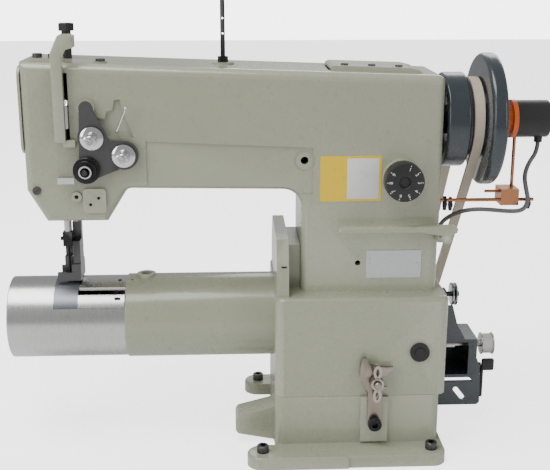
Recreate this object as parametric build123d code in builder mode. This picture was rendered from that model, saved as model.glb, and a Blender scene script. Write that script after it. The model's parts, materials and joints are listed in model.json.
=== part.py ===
"""Cylinder-arm leather sewing machine, modelled as its separate pieces.

Frame: millimetres, +Z up, +X from the needle towards the hand wheel, +Y to the rear.
The origin is the centre of the base's underside.
"""
from build123d import *
import math
import os

# ---------------------------------------------------------------- driving sizes
WALL = 8.0                    # casting walls
RUN = 0.05                    # radial clearance of a shaft in its bearing
GAP = 0.3                     # clearance between pieces that move past each other

BASE_LEFT, BASE_RIGHT = -78.0, 104.0
BASE_HALF = 80.0              # half depth of base and bed block
BASE_TOP = 70.0
FLANGE_T = 14.0
FLANGE_HALF = 112.0
FLANGE_RIGHT = 108.0
BOLT_SPACING_X, BOLT_SPACING_Y = 185.0, 194.0
BOLT_R, BOLT_HEAD_R, BOLT_HEAD_H = 4.0, 6.5, 8.0
LUG_R = 17.0
CORNER_R = 10.0

BED_RIGHT = 110.0
BED_BOTTOM = BASE_TOP + GAP
BED_TOP = 183.0
TUBE_Z = 140.0                # axis of the cylinder bed and of the hook shaft
TUBE_R, TUBE_BORE = 47.5, 40.0
TUBE_LEFT = -243.0
SLEEVE_R, SLEEVE_T = 46.0, 3.0
SLEEVE_LEFT = -372.0

COL_LEFT, ARM_RIGHT = -49.0, 101.0
ARM_HALF = 54.0
ARM_LEFT = -338.5
ARM_TOP_LEFT, ARM_TOP_RIGHT = 432.0, 416.0
ARM_UNDER = 298.0
HEAD_BOTTOM = 264.0
ARM_EDGE_R = 9.0
FACE_T = 3.0

SHAFT_Z = 363.0               # axis of the main shaft
SHAFT_R = 7.5
HOOK_SHAFT_R = 8.0
NEEDLE_X, NEEDLE_Y = -305.5, -8.0
BAR_R = 3.5
PRESS_X, PRESS_Y = -297.5, 6.0
WALK_X, WALK_Y = -307.0, 8.0

SMALL_WHEEL_R, SMALL_WHEEL_X, SMALL_WHEEL_W = 51.5, 106.0, 25.0
HAND_WHEEL_R, HAND_WHEEL_X, HAND_WHEEL_W = 72.0, 148.0, 17.0
PULLEY_R, BELT_W, BELT_T = 42.0, 11.0, 4.0
BELT_X = 135.0
LOOP_R, LOOP_Y = 28.0, 258.0  # lower bight of the belt
TIMING_X, TIMING_W, TIMING_T = 20.0, 12.0, 2.0
TIMING_UP_R, TIMING_LOW_R = 32.0, 16.0

LATCH_X, LATCH_Z = 30.5, 41.0
STUD_X, STUD_Z = 31.5, 90.5
PAD_Y = BASE_HALF + 4.0
STRAP_T = 4.0
HINGE_Y, HINGE_Z = 90.0, BASE_TOP
HINGE_X = (-55.0, 62.0)
PIN_R = 5.0

DIAL_X, DIAL_Z, DIAL_R = 56.0, 310.0, 21.0
LEVER_Z = 255.0
ROD_Z = 276.0                 # horizontal rod of the synchroniser's holder
TENSION = {"top": (-271.5, 386.0), "upper": (-266.0, 355.5),
           "right": (-234.0, 337.0), "low": (-273.0, 322.0)}
PLATE_Y = ARM_HALF + 5.0      # back of the tension plate
PLATE_T = 3.0
WIND_Y, WIND_Z = 20.0, 89.5
TRIP_Z = 62.0
LEAD_R = 2.5
PIVOT_X, PIVOT_Z = 104.0, 247.0   # pivot of the reverse lever
NUT_LOOSE = 1.0               # the wing nut's distance from its strap
SHEET = 4.0                   # winder bracket

os.makedirs("parts", exist_ok=True)


# ---------------------------------------------------------------- helpers
def face_x(x, y=0.0, z=0.0):
    """Plane whose normal is +X; its x runs along +Y and its y along +Z."""
    return Plane(origin=(x, y, z), x_dir=(0, 1, 0), z_dir=(1, 0, 0))


def face_front(y, x=0.0, z=0.0):
    """Plane whose normal is -Y (towards the operator); its x runs along +X, its y along +Z."""
    return Plane(origin=(x, y, z), x_dir=(1, 0, 0), z_dir=(0, -1, 0))


def face_up(z, x=0.0, y=0.0):
    return Plane(origin=(x, y, z))


def disc(plane, radius, length, mode=Mode.ADD):
    with BuildSketch(plane) as shape:
        Circle(radius)
    extrude(shape.sketch, amount=length, mode=mode)


def ring(plane, outer, inner, length, mode=Mode.ADD):
    with BuildSketch(plane) as shape:
        Circle(outer)
        Circle(inner, mode=Mode.SUBTRACT)
    extrude(shape.sketch, amount=length, mode=mode)


def block(x, y, z, mode=Mode.ADD):
    """Box between two corners, each axis given as (low, high)."""
    centre = tuple((low + high) / 2 for low, high in (x, y, z))
    with Locations(centre):
        Box(x[1] - x[0], y[1] - y[0], z[1] - z[0], mode=mode)


def slotted_screw(plane, head_r, head_h):
    disc(plane, head_r, head_h)
    with BuildSketch(plane.offset(head_h)) as slot:
        Rectangle(head_r * 2.2, head_r * 0.25, rotation=35)
    extrude(slot.sketch, amount=-head_h * 0.45, mode=Mode.SUBTRACT)


def hull_of(plane, first, first_r, second, second_r):
    with BuildSketch(plane) as shape:
        with Locations(first):
            Circle(first_r)
        with Locations(second):
            Circle(second_r)
        make_hull()
    return shape.sketch


def save(part, name):
    part.label = name
    export_step(part, f"parts/{name}.step")


def arm_top(x):
    """Height of the arm's sloping top."""
    return ARM_TOP_LEFT + (ARM_TOP_RIGHT - ARM_TOP_LEFT) * (x - ARM_LEFT) / (ARM_RIGHT - ARM_LEFT)


# ---------------------------------------------------------------- base
HALF_X, HALF_Y = BOLT_SPACING_X / 2, BOLT_SPACING_Y / 2
BASE_MID = (BASE_LEFT + BASE_RIGHT) / 2
BASE_LEN = BASE_RIGHT - BASE_LEFT

with BuildPart() as base_casting:
    with BuildSketch(Plane.XY) as flange:
        with Locations(((BASE_LEFT + FLANGE_RIGHT) / 2, 0)):
            RectangleRounded(FLANGE_RIGHT - BASE_LEFT, FLANGE_HALF * 2, LUG_R * 0.9)
        for side in (-1, 1):
            with Locations((-HALF_X, side * HALF_Y)):
                Circle(LUG_R)
            with Locations((-HALF_X / 2, side * HALF_Y)):
                Rectangle(HALF_X, LUG_R * 2)
    extrude(amount=FLANGE_T)
    fillet(base_casting.faces().sort_by(Axis.Z)[-1].edges(), 2.5)
    with BuildSketch(Plane.XY.offset(FLANGE_T - 1)):
        with Locations((BASE_MID, 0)):
            RectangleRounded(BASE_LEN, BASE_HALF * 2, CORNER_R)
    extrude(amount=BASE_TOP - FLANGE_T + 1)
    with BuildSketch(face_front(-16.0)):
        with BuildLine():
            Polyline((BASE_LEFT + 2, 3), (BASE_LEFT - 44, 12), (BASE_LEFT - 44, 32), (BASE_LEFT + 2, 44),
                     (BASE_LEFT + 2, 3))
        make_face()
    extrude(amount=32)
    fillet(base_casting.edges().filter_by(Axis.Y).group_by(Axis.X)[0], 7)
    with BuildSketch(Plane.XY.offset(WALL)):
        with Locations((BASE_MID, 0)):
            RectangleRounded(BASE_LEN - 2 * WALL, (BASE_HALF - WALL) * 2, CORNER_R * 0.6)
    extrude(amount=BASE_TOP, mode=Mode.SUBTRACT)
    block((LATCH_X - 15, LATCH_X + 15), (-PAD_Y, -BASE_HALF + 1), (17, BASE_TOP))
    for hinge_x in HINGE_X:
        block((hinge_x - 7, hinge_x + 7), (BASE_HALF - 1, HINGE_Y), (HINGE_Z - 16, HINGE_Z))
        disc(face_x(hinge_x - 7, HINGE_Y, HINGE_Z), 9.5, 14)
        disc(face_x(hinge_x - 7, HINGE_Y, HINGE_Z), PIN_R, 14, Mode.SUBTRACT)
    with Locations((0, 0, FLANGE_T)):
        with GridLocations(BOLT_SPACING_X, BOLT_SPACING_Y, 2, 2):
            Hole(BOLT_R + 0.5)
    disc(face_front(-PAD_Y, LATCH_X, LATCH_Z), BOLT_R, -WALL, Mode.SUBTRACT)
save(base_casting.part, "base_casting")

with BuildPart() as base_bolts:
    with Locations((0, 0, FLANGE_T)):
        with GridLocations(BOLT_SPACING_X, BOLT_SPACING_Y, 2, 2):
            Cylinder(BOLT_HEAD_R, BOLT_HEAD_H, align=(Align.CENTER, Align.CENTER, Align.MIN))
            Cylinder(BOLT_R, FLANGE_T - 0.5, align=(Align.CENTER, Align.CENTER, Align.MAX))
    with BuildSketch(face_up(FLANGE_T + BOLT_HEAD_H)):
        with GridLocations(BOLT_SPACING_X, BOLT_SPACING_Y, 2, 2):
            RegularPolygon(3.4, 6)
    extrude(amount=-4.5, mode=Mode.SUBTRACT)
    chamfer(base_bolts.edges().group_by(Axis.Z)[-1].filter_by(GeomType.CIRCLE), 0.7)
save(base_bolts.part, "base_bolts")

with BuildPart() as tilt_hinge_pins:
    for hinge_x in HINGE_X:
        disc(face_x(hinge_x - 9, HINGE_Y, HINGE_Z), PIN_R, 30)
save(tilt_hinge_pins.part, "tilt_hinge_pins")

# ---------------------------------------------------------------- latch
STRAP_BACK = -PAD_Y - GAP
with BuildPart() as latch_pivot_screw:
    disc(face_front(-PAD_Y, LATCH_X, LATCH_Z), BOLT_R, -WALL + 1)
    disc(face_front(-PAD_Y, LATCH_X, LATCH_Z), BOLT_R, STRAP_T + 2 * GAP)
    disc(face_front(-PAD_Y - STRAP_T - 2 * GAP, LATCH_X, LATCH_Z), 7.5, 6)
    fillet(latch_pivot_screw.edges().group_by(Axis.Y)[0], 1.2)
    with BuildSketch(face_front(-PAD_Y - STRAP_T - 2 * GAP - 6, LATCH_X, LATCH_Z)):
        RegularPolygon(3.6, 6)
    extrude(amount=-4, mode=Mode.SUBTRACT)
save(latch_pivot_screw.part, "latch_pivot_screw")

with BuildPart() as latch_strap:
    with BuildSketch(face_front(STRAP_BACK)):
        with BuildLine():
            Polyline((LATCH_X - 8, LATCH_Z), (LATCH_X - 8, 78), (LATCH_X - 14, 88), (LATCH_X - 17, 96),
                     (LATCH_X - 17, 108), (LATCH_X - 14.5, 118), (LATCH_X - 10, 118), (LATCH_X - 7, 110),
                     (LATCH_X - 4, STUD_Z), (LATCH_X + 11, STUD_Z), (LATCH_X + 13, 84), (LATCH_X + 8, 78),
                     (LATCH_X + 8, LATCH_Z), (LATCH_X - 8, LATCH_Z))
        make_face()
        with Locations((LATCH_X, LATCH_Z)):
            Circle(8)
            Circle(BOLT_R + RUN, mode=Mode.SUBTRACT)
        with Locations((STUD_X, STUD_Z)):
            Circle(6, mode=Mode.SUBTRACT)
        with Locations((STUD_X + 10, STUD_Z)):
            Rectangle(20, 12, mode=Mode.SUBTRACT)
        # open at the top, so that the stud and its nut lift out when the head tilts
        with Locations((STUD_X, STUD_Z + 20)):
            Rectangle(16.4, 40, mode=Mode.SUBTRACT)
    extrude(amount=STRAP_T)
save(latch_strap.part, "latch_strap")

with BuildPart() as latch_stud:
    disc(face_front(-BASE_HALF + WALL, STUD_X, STUD_Z), BOLT_R, WALL + 22)
    chamfer(latch_stud.edges().group_by(Axis.Y)[0], 0.8)
save(latch_stud.part, "latch_stud")

NUT_BACK = STRAP_BACK - STRAP_T - NUT_LOOSE
with BuildPart() as latch_wing_nut:
    with BuildSketch(face_front(NUT_BACK, STUD_X, STUD_Z)):
        Circle(7.5)
        Circle(BOLT_R + RUN, mode=Mode.SUBTRACT)
    extrude(amount=8, taper=4)
    with BuildSketch(face_front(NUT_BACK - 4, STUD_X, STUD_Z)):
        for side in (-1, 1):
            with Locations((0, side * 13.5)):
                Ellipse(4.6, 8)
                Ellipse(1.8, 4.6, mode=Mode.SUBTRACT)
    extrude(amount=3.2)
save(latch_wing_nut.part, "latch_wing_nut")

# ---------------------------------------------------------------- bed
BED_LEN = BED_RIGHT - BASE_LEFT
BED_MID = (BED_RIGHT + BASE_LEFT) / 2
with BuildPart() as bed_casting:
    with BuildSketch(face_up(BED_BOTTOM)):
        with Locations((BED_MID, 0)):
            RectangleRounded(BED_LEN, BASE_HALF * 2, CORNER_R)
    extrude(amount=BED_TOP - BED_BOTTOM)
    fillet(bed_casting.faces().sort_by(Axis.Z)[-1].edges(), 5)
    disc(face_x(TUBE_LEFT, 0, TUBE_Z), TUBE_R, BASE_LEFT + WALL - TUBE_LEFT)
    fillet(bed_casting.edges().group_by(Axis.X)[0], 2)
    with BuildSketch(face_x(BASE_LEFT + 2, 0, BED_TOP - 20)):
        with BuildLine():
            Polyline((-72, 0), (-72, 18), (-66, 58), (-56, 80), (50, 80), (66, 58), (72, 18), (72, 0), (-72, 0))
        make_face()
    extrude(amount=13)
    block((BASE_LEFT + 10, COL_LEFT - GAP), (-38, 38), (BED_TOP - 5, BED_TOP + 49))
    with BuildSketch(face_up(BED_BOTTOM)):
        with Locations((BED_MID, 0)):
            RectangleRounded(BED_LEN - 2 * WALL, (BASE_HALF - WALL) * 2, CORNER_R * 0.6)
    extrude(amount=BED_TOP - WALL - BED_BOTTOM, mode=Mode.SUBTRACT)
    disc(face_x(TUBE_LEFT, 0, TUBE_Z), TUBE_BORE, BASE_LEFT + 2 * WALL - TUBE_LEFT, Mode.SUBTRACT)
    block((-35, 85), (-40, 40), (BED_TOP - 20, BED_TOP + 1), Mode.SUBTRACT)
    disc(face_x(BED_RIGHT - WALL - 1, 0, TUBE_Z), 14, WALL + 2, Mode.SUBTRACT)
    disc(face_up(TUBE_Z + TUBE_R - 4, TUBE_LEFT + 22, 0), 10.5, 6.5)
    disc(face_up(TUBE_Z + TUBE_R + 3, TUBE_LEFT + 22, 0), 6.0, -13, Mode.SUBTRACT)
    disc(face_up(TUBE_Z + TUBE_R + 3, TUBE_LEFT + 7, -12), 1.8, -14, Mode.SUBTRACT)
    disc(face_front(-BASE_HALF + 1, STUD_X, STUD_Z + 5), 12, 4.5)
    disc(face_front(-BASE_HALF - 5, STUD_X, STUD_Z), BOLT_R, -WALL - 6, Mode.SUBTRACT)
    disc(face_front(-BASE_HALF - 1, 79, 121), 6, -WALL - 2, Mode.SUBTRACT)
    with BuildSketch(face_front(-73, -68, BED_TOP + 32)):
        SlotOverall(6, 2)
    extrude(amount=-20, mode=Mode.SUBTRACT)
    for hinge_x in HINGE_X:
        left = hinge_x + 7 + GAP
        block((left, left + 12), (BASE_HALF - 1, HINGE_Y), (HINGE_Z + 2, HINGE_Z + 22))
        disc(face_x(left, HINGE_Y, HINGE_Z), 9.3, 12)
        block((left, left + 12), (HINGE_Y - 9, HINGE_Y + 9.3), (HINGE_Z, HINGE_Z + 8))
        disc(face_x(left - 1, HINGE_Y, HINGE_Z), PIN_R + RUN, 15, Mode.SUBTRACT)
save(bed_casting.part, "bed_casting")

with BuildPart() as rubber_plug:
    disc(face_front(-BASE_HALF, 79, 121), 10.5, 3.5)
    disc(face_front(-BASE_HALF, 79, 121), 6, -WALL)
    disc(face_front(-BASE_HALF - 3.5, 79, 121), 5.5, 1.5)
    fillet(rubber_plug.edges().group_by(Axis.Y)[0], 0.7)
save(rubber_plug.part, "rubber_plug")

# ---------------------------------------------------------------- arm, column and head
HEAD_BORES = ((NEEDLE_X, NEEDLE_Y), (PRESS_X, PRESS_Y), (WALK_X, WALK_Y))
CHAMBER = (ARM_LEFT + WALL, -262.0)
WEB_RIGHT = -250.0
FRONT = -ARM_HALF
with BuildPart() as arm_casting:
    with BuildSketch(face_front(-ARM_HALF)) as outline:
        with BuildLine():
            Polyline((COL_LEFT, BED_TOP), (COL_LEFT, ARM_UNDER - 2), (-233, ARM_UNDER + 1),
                     (-255, HEAD_BOTTOM), (-319, HEAD_BOTTOM), (ARM_LEFT, ARM_UNDER),
                     (ARM_LEFT, ARM_TOP_LEFT), (ARM_RIGHT, ARM_TOP_RIGHT), (ARM_RIGHT, LEVER_Z - 12),
                     (100, LEVER_Z - 18), (100, BED_TOP), (COL_LEFT, BED_TOP))
        make_face()
        for corner, radius in (((COL_LEFT, ARM_UNDER - 2), 20), ((-233, ARM_UNDER + 1), 8),
                               ((ARM_RIGHT, ARM_TOP_RIGHT), 8)):
            fillet(outline.vertices().sort_by_distance((*corner, 0))[0], radius)
    extrude(amount=-2 * ARM_HALF)
    for y_end in (0, -1):
        rim = arm_casting.faces().filter_by(Plane.XZ).sort_by(Axis.Y)[y_end].edges()
        fillet(rim.filter_by_position(Axis.Z, BED_TOP + 1, 500), ARM_EDGE_R)
    # inside: head chambers, arm and column
    block(CHAMBER, (-42, 42), (HEAD_BOTTOM + WALL, 320), Mode.SUBTRACT)
    block(CHAMBER, (-42, 42), (332, ARM_TOP_RIGHT + 6), Mode.SUBTRACT)
    block((WEB_RIGHT, 92), (-44, 44), (ARM_UNDER + 10, 405), Mode.SUBTRACT)
    block((COL_LEFT + WALL + 1, 92), (-44, 44), (BED_TOP - 1, ARM_UNDER + 11), Mode.SUBTRACT)
    block((ARM_LEFT - 1, ARM_LEFT + WALL + 1), (-34, 34), (340, 412), Mode.SUBTRACT)
    block((-320, -290), (-17, 17), (HEAD_BOTTOM - 1, HEAD_BOTTOM + WALL + 1), Mode.SUBTRACT)
    block((-20, 75), (-30, 30), (400, 430), Mode.SUBTRACT)
    block((-298.5, -289.5), (-60, -41), (350, 421), Mode.SUBTRACT)
    # bearings
    disc(face_x(CHAMBER[1] - 1, 0, SHAFT_Z), 13, 14, Mode.SUBTRACT)
    disc(face_x(91, 0, SHAFT_Z), 13, 15, Mode.SUBTRACT)
    disc(face_x(-263, -22, 385), 4, 8, Mode.SUBTRACT)
    for bar_x, bar_y in HEAD_BORES:
        disc(face_up(319, bar_x, bar_y), BAR_R + RUN, 14, Mode.SUBTRACT)
    disc(face_up(421, PRESS_X, PRESS_Y), 5 + RUN, 12, Mode.SUBTRACT)
    # front details
    with BuildSketch(face_front(-ARM_HALF - 1)):
        with BuildLine():
            Polyline((-212, ARM_UNDER - 6), (-212, 350), (-37, 342), (-37, ARM_UNDER - 6), (-212, ARM_UNDER - 6))
        make_face()
    extrude(amount=-2.6, mode=Mode.SUBTRACT)
    with BuildSketch(face_front(-ARM_HALF - 1)):
        with BuildLine():
            Polyline((-262, 354), (-261, 375), (-253, 374), (-251, 381.5), (-245, 383), (-243, 393),
                     (-237, 394), (-234, 380), (-224, 354), (-262, 354))
        make_face()
    extrude(amount=-4, mode=Mode.SUBTRACT)
    disc(face_front(FRONT - 1, -46, 328), 11, -3.5, Mode.SUBTRACT)
    disc(face_front(FRONT - 1, -46, 328), 4.2, -16, Mode.SUBTRACT)
    disc(face_front(FRONT - 1, 12.5, 215), 3.0, -16, Mode.SUBTRACT)
    for name in ("top", "upper", "right", "low"):
        disc(face_front(FRONT + 1, *TENSION[name]), 9, 6)
    disc(face_front(FRONT + 1, DIAL_X, DIAL_Z), DIAL_R - 1, 13)
    disc(face_front(FRONT - 13, DIAL_X, DIAL_Z), 4 + RUN, -24, Mode.SUBTRACT)
    with BuildSketch(face_front(FRONT + 1, -267, 288)):
        RectangleRounded(24, 26, 4)
    extrude(amount=5)
    for hole_x, hole_z in ((-271.4, 284), (-262.8, 291)):
        disc(face_front(FRONT - 5, hole_x, hole_z), 1.7, -16, Mode.SUBTRACT)
    ring(face_front(FRONT + 1, -286, 292), 5.5, 2.2, 3.5)
    disc(face_front(FRONT - 4, -286, 292), 2.2, -16, Mode.SUBTRACT)
    # right-hand lug that carries the reverse lever's pivot
    block((PIVOT_X - 8, PIVOT_X + 6), (-68, -36), (PIVOT_Z - 6, PIVOT_Z + 4))
    disc(face_front(-68, PIVOT_X, PIVOT_Z), 3, -10, Mode.SUBTRACT)
    disc(face_x(ARM_RIGHT - 5, -20, ROD_Z), 2.05, 10, Mode.SUBTRACT)
    disc(face_x(ARM_LEFT + 1, -30, 311), 5, -3)
    disc(face_up(arm_top(-131) - 4, -131, 0), 12, 6)
    disc(face_up(arm_top(-131) + 3, -131, 0), 2.5, -24, Mode.SUBTRACT)
    disc(face_up(arm_top(-258) - 3, -258, -30), 7, 4.5)
save(arm_casting.part, "arm_casting")

FACE_BOTTOM = 336.0           # above the screw boss of the head's lower half
with BuildPart() as face_plate:
    with BuildSketch(face_x(ARM_LEFT - FACE_T)):
        with Locations((0, (FACE_BOTTOM + ARM_TOP_LEFT - 4) / 2)):
            RectangleRounded(2 * ARM_HALF - 6, ARM_TOP_LEFT - 4 - FACE_BOTTOM, 12)
    extrude(amount=FACE_T)
    fillet(face_plate.faces().sort_by(Axis.X)[0].edges(), FACE_T * 0.6)
save(face_plate.part, "face_plate")

with BuildPart() as top_cover:
    with BuildSketch(face_front(-34)):
        with BuildLine():
            Polyline((-18, arm_top(-18)), (80, arm_top(80)), (76, arm_top(76) + 3), (66, arm_top(66) + 5),
                     (-14, arm_top(-14) + 5), (-18, arm_top(-18) + 3), (-18, arm_top(-18)))
        make_face()
    extrude(amount=-68)
save(top_cover.part, "top_cover")

with BuildPart() as head_top_plate:
    with BuildSketch(face_front(-46)):
        with BuildLine():
            Polyline((-328, arm_top(-328)), (-298, arm_top(-298)), (-298, arm_top(-298) + 4),
                     (-328, arm_top(-328) + 4), (-328, arm_top(-328)))
        make_face()
    extrude(amount=-30)
save(head_top_plate.part, "head_top_plate")

with BuildPart() as head_screws:
    for screw_x in (-2, 27, 56):
        slotted_screw(face_up(arm_top(screw_x) + 5.2, screw_x, -20), 4, 1.6)
    for screw_x in (-321, -305):
        slotted_screw(face_up(arm_top(screw_x) + 4.2, screw_x, -38), 5, 4)
    slotted_screw(face_up(arm_top(-258) + 1.5, -258, -30), 5, 2.5)
    slotted_screw(face_front(FRONT, -327, 299), 4.5, 2)
save(head_screws.part, "head_screws")

# ---------------------------------------------------------------- take-up
GUARD_Y = FRONT - GAP
with BuildPart() as take_up_guard:
    block((-304, -293), (GUARD_Y - 10, GUARD_Y), (354, 441))
    block((-304, -295.5), (GUARD_Y - 7.5, GUARD_Y + 1), (353, 442), Mode.SUBTRACT)
    block((-304, -280), (GUARD_Y - 10, GUARD_Y - 7.5), (436, 460))
    block((-296, -280), (GUARD_Y - 8.5, GUARD_Y + 7), (440, 460))
    block((-293.5, -279), (GUARD_Y - 7.5, GUARD_Y + 8), (439, 457.5), Mode.SUBTRACT)
    block((-296, -283), (GUARD_Y - 8, GUARD_Y), (345, 353))
save(take_up_guard.part, "take_up_guard")

TAKE_Y, TAKE_Z = -22.0, 385.0
with BuildPart() as take_up_lever:
    with BuildSketch(face_x(-292.4)):
        with BuildLine():
            Polyline((TAKE_Y, TAKE_Z - 6.5), (-50, TAKE_Z - 8), (-57, TAKE_Z - 20), (-61, TAKE_Z - 20),
                     (-61, TAKE_Z + 4), (-57, TAKE_Z + 9), (-50, TAKE_Z + 4), (TAKE_Y, TAKE_Z + 6.5),
                     (TAKE_Y, TAKE_Z - 6.5))
        make_face()
        with Locations((TAKE_Y, TAKE_Z)):
            Circle(7)
        with Locations((-57, TAKE_Z + 3)):
            Circle(1.6, mode=Mode.SUBTRACT)
        with Locations((TAKE_Y, TAKE_Z)):
            Circle(4 + RUN, mode=Mode.SUBTRACT)
    extrude(amount=2.5)
save(take_up_lever.part, "take_up_lever")

# ---------------------------------------------------------------- thread tension
with BuildPart() as tension_plate:
    with BuildSketch(face_front(-PLATE_Y)):
        with Locations(TENSION["top"]):
            Circle(7)
        with Locations(TENSION["upper"]):
            Circle(15)
        with Locations(TENSION["right"]):
            Circle(15)
        with Locations(TENSION["low"]):
            Circle(13)
        with BuildLine():
            Polyline((-278, 386), (-265, 386), (-249, 352), (-234, 352), (-226, 330), (-240, 322),
                     (-273, 309), (-281, 322), (-278, 386))
        make_face()
    extrude(amount=PLATE_T)
save(tension_plate.part, "tension_plate")

POST_Y = -PLATE_Y - PLATE_T
NUT_Y = POST_Y - 12.0
with BuildPart() as tension_discs:
    for name in ("upper", "right"):
        disc(face_front(POST_Y, *TENSION[name]), 3, 22)
        for step in (0.5, 4.5):
            with BuildSketch(face_front(POST_Y - step, *TENSION[name])):
                Circle(12.5 if name == "right" else 12)
                Circle(3, mode=Mode.SUBTRACT)
            extrude(amount=2.5, taper=25)
        ring(face_front(POST_Y - 7.5, *TENSION[name]), 5, 3, 4)
save(tension_discs.part, "tension_discs")

for place in ("upper", "right"):
    with BuildPart() as tension_nut:
        ring(face_front(NUT_Y, *TENSION[place]), 6.5, 3 + RUN, 8)
        fillet(tension_nut.edges().group_by(Axis.Y)[0], 0.8)
    save(tension_nut.part, f"tension_nut_{place}")

with BuildPart() as rotary_tension:
    disc(face_front(POST_Y, *TENSION["low"]), 14, 5)
    disc(face_front(POST_Y - 5, *TENSION["low"]), 11, 3)
    ring(face_front(POST_Y - 8, *TENSION["low"]), 7, 3, 6)
    disc(face_front(POST_Y - 8, *TENSION["low"]), 3, 9)
save(rotary_tension.part, "rotary_tension")

with BuildPart() as thread_guides:
    with BuildLine():
        FilletPolyline((-241, FRONT + 3, 361), (-241, FRONT - 8, 361), (-230, FRONT - 12, 386),
                       radius=3)
    with BuildSketch(face_front(FRONT + 3, -241, 361)):
        Circle(1.2)
    sweep()
    with Locations((-230, FRONT - 12, 386)):
        Sphere(2.0)
    block((-303, -286), (FRONT - 12, FRONT), (312, 314.5))
    block((-303, -286), (FRONT - 12, FRONT - 10), (308, 314))
    disc(face_front(FRONT, -247, 330), 3.6, 4)
save(thread_guides.part, "thread_guides")

with BuildPart() as thread_post:
    post_z = arm_top(-131) + 2
    disc(face_up(post_z, -131, 0), 2.5, 66)
    disc(face_up(post_z, -131, 0), 2.5, -20)
    with BuildSketch(face_up(post_z, -131, 0)):
        RegularPolygon(5.6, 6)
    extrude(amount=6)
    for height in (30, 46):
        disc(face_front(-3, -131, post_z + height), 1.1, -6, Mode.SUBTRACT)
save(thread_post.part, "thread_post")

# ---------------------------------------------------------------- plates, dial, reverse lever
with BuildPart() as type_plate:
    block((21.5, 81.5), (FRONT - 0.8, FRONT), (198, 229))
    for rivet_x in (25.5, 77.5):
        disc(face_front(FRONT - 0.8, rivet_x, 213.5), 1.6, 0.9)
save(type_plate.part, "type_plate")

with BuildPart() as blank_label:
    block((-29.5, 35.5), (FRONT - 0.4, FRONT), (284, 333))
save(blank_label.part, "blank_label")

DIAL_BACK = FRONT - 12 - GAP
with BuildPart() as stitch_dial:
    disc(face_front(DIAL_BACK, DIAL_X, DIAL_Z), DIAL_R, 18)
    fillet(stitch_dial.edges().group_by(Axis.Y)[0], 1)
    disc(face_front(DIAL_BACK - 18, DIAL_X, DIAL_Z), 5, -3, Mode.SUBTRACT)
    with BuildSketch(face_front(DIAL_BACK, DIAL_X, DIAL_Z)):
        with PolarLocations(DIAL_R + 0.6, 36):
            Circle(1.1)
    extrude(amount=17, mode=Mode.SUBTRACT)
    disc(face_front(DIAL_BACK, DIAL_X, DIAL_Z), 4, -20)
save(stitch_dial.part, "stitch_dial")

LEVER_BACK = -68.0 - GAP
with BuildPart() as reverse_lever:
    with BuildSketch(face_front(LEVER_BACK)):
        with BuildLine():
            Polyline((-11, 256), (-8, 259.5), (112, 261), (116, 257.5), (115, 253.5), (107, 249), (75, 254),
                     (-9, 253.5), (-11, 256))
        make_face()
        with Locations((PIVOT_X, PIVOT_Z)):
            Circle(6)
            Circle(3 + RUN, mode=Mode.SUBTRACT)
    extrude(amount=8)
    fillet(reverse_lever.faces().sort_by(Axis.Y)[0].outer_wire().edges(), 1.2)
save(reverse_lever.part, "reverse_lever")

# pivots of the take-up lever, the reverse lever and the hand lifter
with BuildPart() as pivot_pins:
    disc(face_x(-299, TAKE_Y, TAKE_Z), 4, 42)
    disc(face_front(-58, PIVOT_X, PIVOT_Z), 3, 18)
    disc(face_front(ARM_HALF + 14, -262, 318), 4, 14)
save(pivot_pins.part, "pivot_pins")

# ---------------------------------------------------------------- cylinder sleeve and plates
PLATE_LEFT, PLATE_RIGHT = -321.0, -294.7
NOTCH_FRONT_Z, NOTCH_REAR_Y = 162.0, 21.5
SLEEVE_IN = SLEEVE_R - SLEEVE_T


def bed_shell(x_low, x_high, y_range, z_range):
    """A stretch of the cylinder's outer shell, kept only inside one window."""
    ring(face_x(x_low, 0, TUBE_Z), SLEEVE_R, SLEEVE_IN, x_high - x_low)
    block((x_low, x_high), y_range, z_range, Mode.INTERSECT)


with BuildPart() as bed_sleeve:
    disc(face_x(SLEEVE_LEFT, 0, TUBE_Z), SLEEVE_R, TUBE_LEFT - SLEEVE_LEFT)
    fillet(bed_sleeve.edges().group_by(Axis.X)[0], 1)
    disc(face_x(SLEEVE_LEFT + 3, 0, TUBE_Z), SLEEVE_IN, TUBE_LEFT - SLEEVE_LEFT, Mode.SUBTRACT)
    block((PLATE_LEFT, TUBE_LEFT), (-60, NOTCH_REAR_Y), (NOTCH_FRONT_Z, 200), Mode.SUBTRACT)
save(bed_sleeve.part, "bed_sleeve")

with BuildPart() as needle_plate:
    bed_shell(PLATE_LEFT + GAP, PLATE_RIGHT, (-50, NOTCH_REAR_Y - GAP), (NOTCH_FRONT_Z + GAP, 200))
    block((-313.5, -298), (-4.5, 11), (170, 200), Mode.SUBTRACT)
    disc(face_up(175, NEEDLE_X, NEEDLE_Y), 1.8, 15, Mode.SUBTRACT)
save(needle_plate.part, "needle_plate")

with BuildPart() as bed_top_strip:
    bed_shell(PLATE_RIGHT + GAP, TUBE_LEFT, (-22, NOTCH_REAR_Y - GAP), (175, 200))
    disc(face_up(170, -250, -10), 2.2, 30, Mode.SUBTRACT)
save(bed_top_strip.part, "bed_top_strip")

with BuildPart() as bobbin_cover:
    bed_shell(PLATE_RIGHT + GAP, TUBE_LEFT - GAP, (-50, -29), (NOTCH_FRONT_Z + GAP, 174.5))
    with BuildSketch(face_front(-50, -251, 171)):
        SlotOverall(7, 2.4)
    extrude(amount=-30, mode=Mode.SUBTRACT)
save(bobbin_cover.part, "bobbin_cover")

with BuildPart() as feed_dog:
    block((-312, -299.5), (-3, 9.5), (176, TUBE_Z + SLEEVE_R + 0.6))
    block((-312, -241), (0, 6), (171, 177))
    with BuildSketch(face_up(TUBE_Z + SLEEVE_R + 0.6)):
        for tooth in range(4):
            with Locations((-309.5 + 3 * tooth, 3)):
                Rectangle(1.2, 14)
    extrude(amount=-1, mode=Mode.SUBTRACT)
save(feed_dog.part, "feed_dog")

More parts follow.
